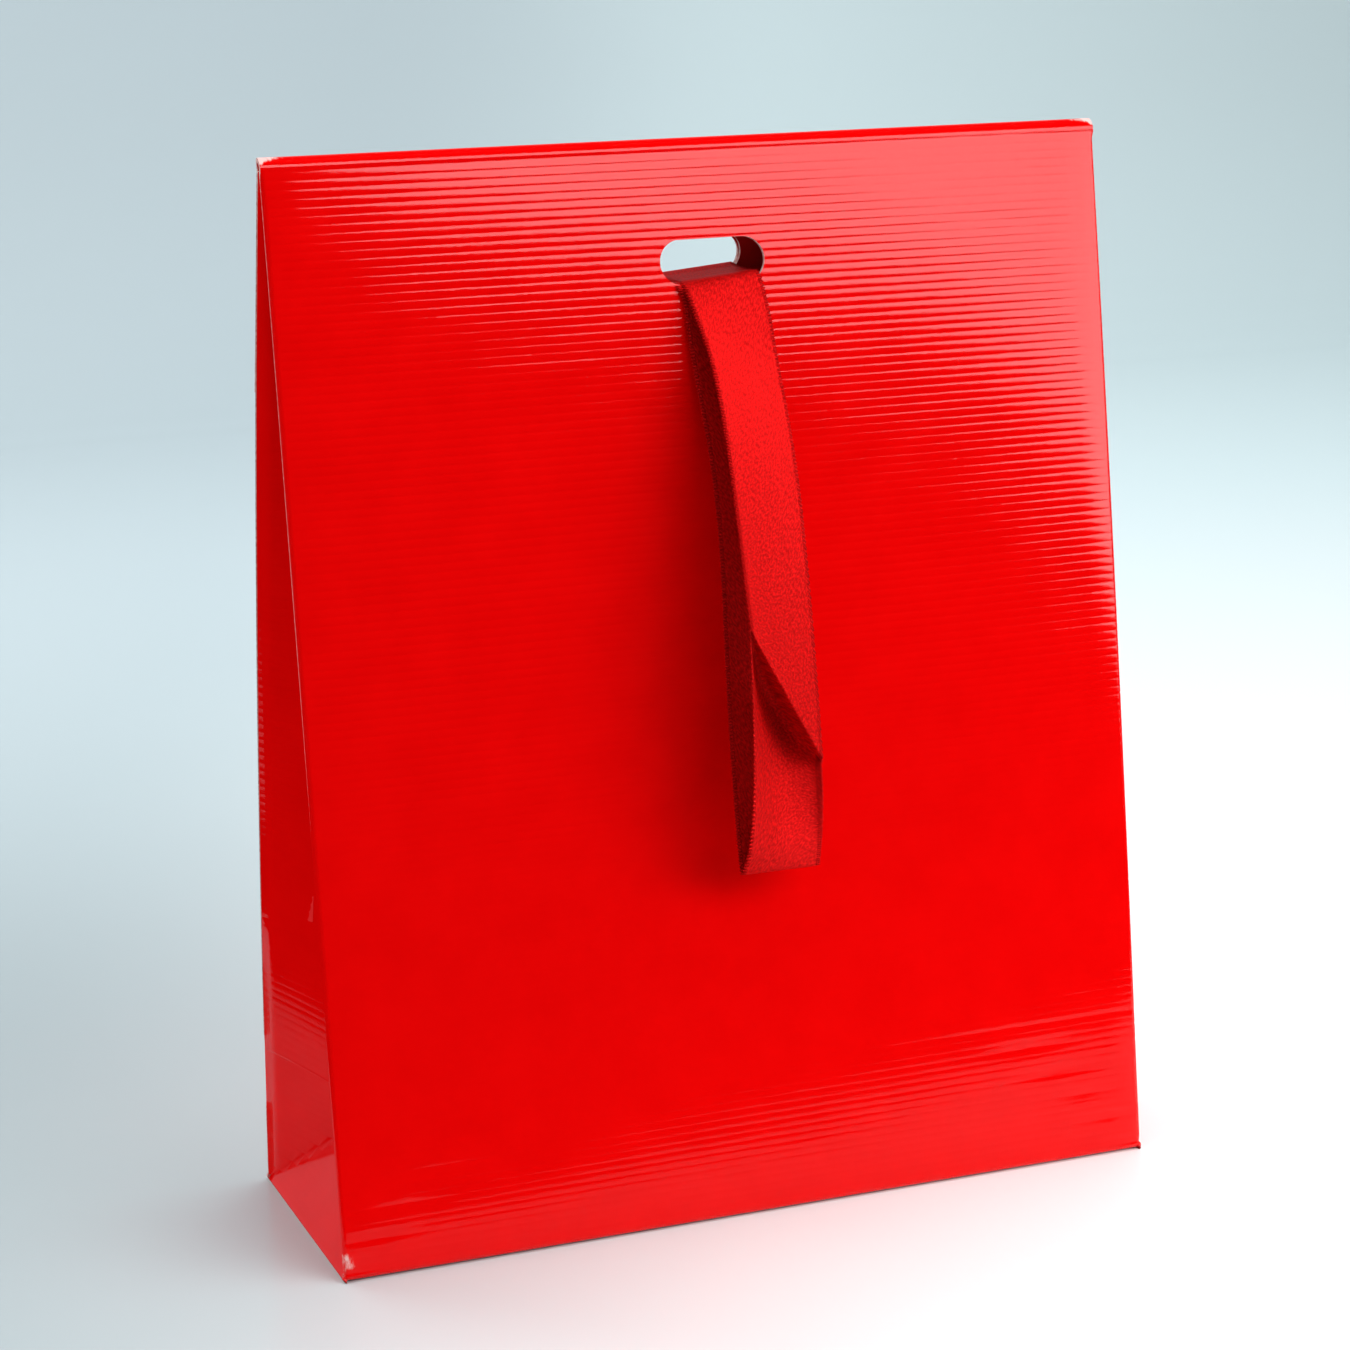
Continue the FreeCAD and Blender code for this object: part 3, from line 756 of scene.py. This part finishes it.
satin, wire = finish_named("red_satin")
cloth = wire.node("ShaderNodeUVMap", {"uv_map": "cloth"})
wide = cloth.node("ShaderNodeSeparateXYZ", None, {"Vector": cloth}, "X")
long = cloth.node("ShaderNodeSeparateXYZ", None, {"Vector": cloth}, "Y")
selvedge = (wide.size()).fade(ribbon_width / 2 - 1.3 * mm, ribbon_width / 2 - 0.9 * mm)
twill = 0.5 + 0.5 * ((wide + long) * (math.tau / twill_pitch)).wave()
beads = (0.5 + 0.5 * (long * (math.tau / bead_pitch)).wave()) * selvedge
slanted = cloth.node("ShaderNodeMapping", None, {"Vector": cloth, "Rotation": (0, 0, 0.5)})
flecks = slanted.stretched(2500, 750, 1).speckle(1.0, 3.0, 0.65)
threads = cloth.stretched(5200, 500, 1).speckle(1.0, 2.0, 0.6)
sheen_drift = cloth.stretched(160, 40, 1).speckle(1.0, 3.0, 0.6)
# Painted sheen: bright twill flecks and a slow drift of shine lighten the ribbon's base colour from a
# deep red.
shine = 0.8 * flecks.fade(0.34, 0.66) + 0.2 * sheen_drift
red_with_painted_sheen = shine.tint((0.36, 0.001, 0.001), (0.88, 0.010, 0.010))
weave = 0.4 * twill * (1 - selvedge) + 0.5 * threads + 1.2 * flecks + 2.6 * beads
# Painted shade: the selvedges are darker in the hollows between their beads and keep the ribbon's red
# on the bead crests.
coat_with(wire, {
    "Base Color": (0.55 * selvedge * (1 - beads)).tint(red_with_painted_sheen, (0.22, 0.0, 0.001)),
    "Roughness": 0.36 + 0.20 * flecks + 0.15 * selvedge,
    "Metallic": 0.45,
    "IOR": 1.3,
    "Specular IOR Level": 0.30,
    "Specular Tint": (1.0, 0.30, 0.28, 1),
    "Normal": relief(weave, 0.00011, 1.0),
})


def wall_y(z):
    """Depth of the front wall's outer face at a height, before its bulge."""
    spot, _ = bowed_wall(min(max(z / head_z, 0), 1), front_bow)
    return -spot.x


def eased(points, share):
    """A point on the smooth line through the points, at a share of it."""
    last = len(points) - 1
    at = min(int(share * last), last - 1)
    t = share * last - at
    a, b = points[at], points[at + 1]
    before = points[at - 1] if at else a * 2 - b
    after = points[at + 2] if at + 2 <= last else b * 2 - a
    return 0.5 * (
        2 * a + (b - before) * t + (2 * before - 5 * a + 4 * b - after) * t**2
        + (3 * a - before - 3 * b + after) * t**3
    )


def ribbon_strip(name, runs):
    """A strip along smooth runs of (left edge, right edge, belly) points.

    The belly is how far the middle of the ribbon lies back from the line between its edges.
    """
    edges = []
    for run in runs:
        lefts, rights = [Vector(r[0]) for r in run], [Vector(r[1]) for r in run]
        bellies = [Vector((0, r[2] if len(r) > 2 else 0, 0)) for r in run]
        run_length = sum((b - a).length for a, b in zip(lefts, lefts[1:]))
        steps = max(int(run_length / (0.32 * mm)), 4)
        for step in range(steps + 1):
            if edges and step == 0:
                continue
            edges.append(tuple(eased(line, step / steps) for line in (lefts, rights, bellies)))
    strip = bmesh.new()
    bmesh.ops.create_grid(strip, x_segments=14, y_segments=len(edges) - 1, size=0.5)
    layer = strip.loops.layers.uv.new("cloth")
    lengths = [0.0]
    for one, two in zip(edges, edges[1:]):
        lengths.append(lengths[-1] + ((two[0] + two[1]) / 2 - (one[0] + one[1]) / 2).length)
    for face in strip.faces:
        face.smooth = True
        for loop in face.loops:
            row = round((loop.vert.co.y + 0.5) * (len(edges) - 1))
            loop[layer].uv = (loop.vert.co.x * ribbon_width, lengths[row])
    for v in strip.verts:
        row = round((v.co.y + 0.5) * (len(edges) - 1))
        share = v.co.x + 0.5
        left, right, belly = edges[row]
        if abs(v.co.x) > 0.49:
            ripple = 0.012 * math.sin(math.tau * lengths[row] / bead_pitch)
            share = 0.5 + math.copysign(0.5 + ripple, v.co.x)
        v.co = left.lerp(right, share) + belly * 4 * share * (1 - share)
    bmesh.ops.recalc_face_normals(strip, faces=strip.faces[:])
    piece = new_piece(name, strip)
    piece.data.materials.append(satin)
    body = piece.modifiers.new("cloth_thickness", "SOLIDIFY")
    body.thickness = ribbon_thick
    body.offset = 0
    return piece


def hanging(left_z, left_off, right_z, right_off, shift=0.0, belly=0.0):
    """The ribbon's two edges, each at a height and so many millimetres off the front wall."""

    def off_wall(z, off):
        bulge = front_bulge(0, z * wall_length / head_z)
        return wall_y(z) - max(off * mm, bulge + 0.9 * mm)

    return (
        (ribbon_left + shift * mm, off_wall(left_z * mm, left_off), left_z * mm),
        (ribbon_right + shift * mm, off_wall(right_z * mm, right_off), right_z * mm),
        belly * mm,
    )


lip_front = wall_y(lip_z) - front_bulge(0, slot_s) + 0.3 * mm
upper, lower = lip_z + 0.95 * mm, lip_z + 0.30 * mm


def in_slot(y, z, shift=0.0):
    """The ribbon's two edges as it lies in the slots, turned up at the round ends."""
    return (
        (-8.6 * mm + shift * mm, y, z - 0.15 * shift * mm),
        (15.4 * mm + shift * mm, y, z + 1.9 * mm + 0.3 * shift * mm),
        0.0,
    )


# The run next to the wall, down to the crease at the bottom of the loop.
under_run = [
    in_slot(0.4 * mm, lower, -2), in_slot(-4.0 * mm, lower, -2), in_slot(lip_front, lower, -2),
    hanging(262, 4.4, 262, 4.4, -2.6), hanging(252, 5.4, 252, 5.4, -2.2),
    hanging(240, 7.4, 240, 7.2, -1.6), hanging(222, 11.0, 222, 11.0, -0.6),
    hanging(203, 12.8, 203, 12.8), hanging(186, 13.2, 186, 13.2), hanging(168, 12.4, 168, 12.4),
    hanging(150, 12.0, 150, 12.0), hanging(133, 12.2, 133, 12.2), hanging(117, 12.8, 117, 12.8),
    hanging(107, 13.6, 107, 13.6), hanging(103.6, 14.6, 103.6, 14.6),
]
# From the crease up and out to the slanted fold, hollow under it.
lower_run = [
    hanging(103.6, 14.6, 103.6, 14.6), hanging(106, 17.0, 105, 15.0, 0, 0.3),
    hanging(114, 22.4, 109.5, 16.6, 0, 2.2), hanging(128, 27.2, 115, 18.2, 0, 5.4),
    hanging(146, 30.2, 122, 19.4, 0, 8.8), hanging(161, 31.4, 127.5, 19.8, 0, 11.0),
    hanging(170, 31.9, 131.5, 19.8, 0, 11.4), hanging(174.6, 32.2, 134.2, 19.9, 0, 8.0),
    hanging(176, 32.6, 135.2, 21.4, 0, 0.0),
]
# From the slanted fold back up to the slot.
upper_run = [
    hanging(176, 32.6, 135.2, 21.4), hanging(190, 30.0, 161, 20.4), hanging(206, 27.2, 187, 18.8),
    hanging(222, 24.0, 210, 16.2), hanging(236, 20.2, 228, 11.8), hanging(248, 14.6, 244, 6.4),
    hanging(257, 9.6, 256, 5.6, -1.0), hanging(264, 5.6, 264, 4.6, -2.0),
    in_slot(lip_front + 0.6 * mm, upper), in_slot(-4.0 * mm, upper), in_slot(0.4 * mm, upper),
]
ribbon_front = ribbon_strip("ribbon_front", [under_run, lower_run, upper_run])
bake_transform(ribbon_front)
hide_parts("ribbon_loop", "ribbon_throat")

# ---------------------------------------------------------------------------
# The ribbon's ends
# Behind the flap the two ends hang one on the other, cut on a slant.
# ---------------------------------------------------------------------------


def flap_y(z):
    """Depth of the flap's outer face at a height."""
    return fold_y + fold_radius + (head_z - z) * flap_slope.x / -flap_slope.y


def tail_run(layer, drop, slant, sway):
    """An end's run out of the slot and down the flap; slant is how its cut rises."""
    start = lower if layer == 0 else upper
    off = 0.6 * mm + layer * 0.75 * mm
    back_lip = flap_y(lip_z)
    run = [in_slot(0.4 * mm, start), in_slot(5.0 * mm, start), in_slot(back_lip - 0.2 * mm, start)]
    for share in (0.08, 0.2, 0.4, 0.6, 0.8, 1.0):
        z_left = lip_z - drop * share
        z_right = z_left + slant * share**3
        out = off + 1.3 * mm * math.sin(math.pi * share) * (0.4 + 0.6 * layer)
        shift = sway * share**1.5
        run.append((
            (ribbon_left + shift, flap_y(z_left) + out, z_left),
            (ribbon_right + shift, flap_y(z_right) + out, z_right),
        ))
    return run


end_cuts = ((70 * mm, 7 * mm, -0.8 * mm), (62 * mm, -6 * mm, 0.7 * mm))
for layer, (drop, slant, sway) in enumerate(end_cuts):
    tail = ribbon_strip(f"ribbon_end_{layer + 1}", [tail_run(layer, drop, slant, sway)])
    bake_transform(tail)
    if layer == 0:
        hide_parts("ribbon_tails")
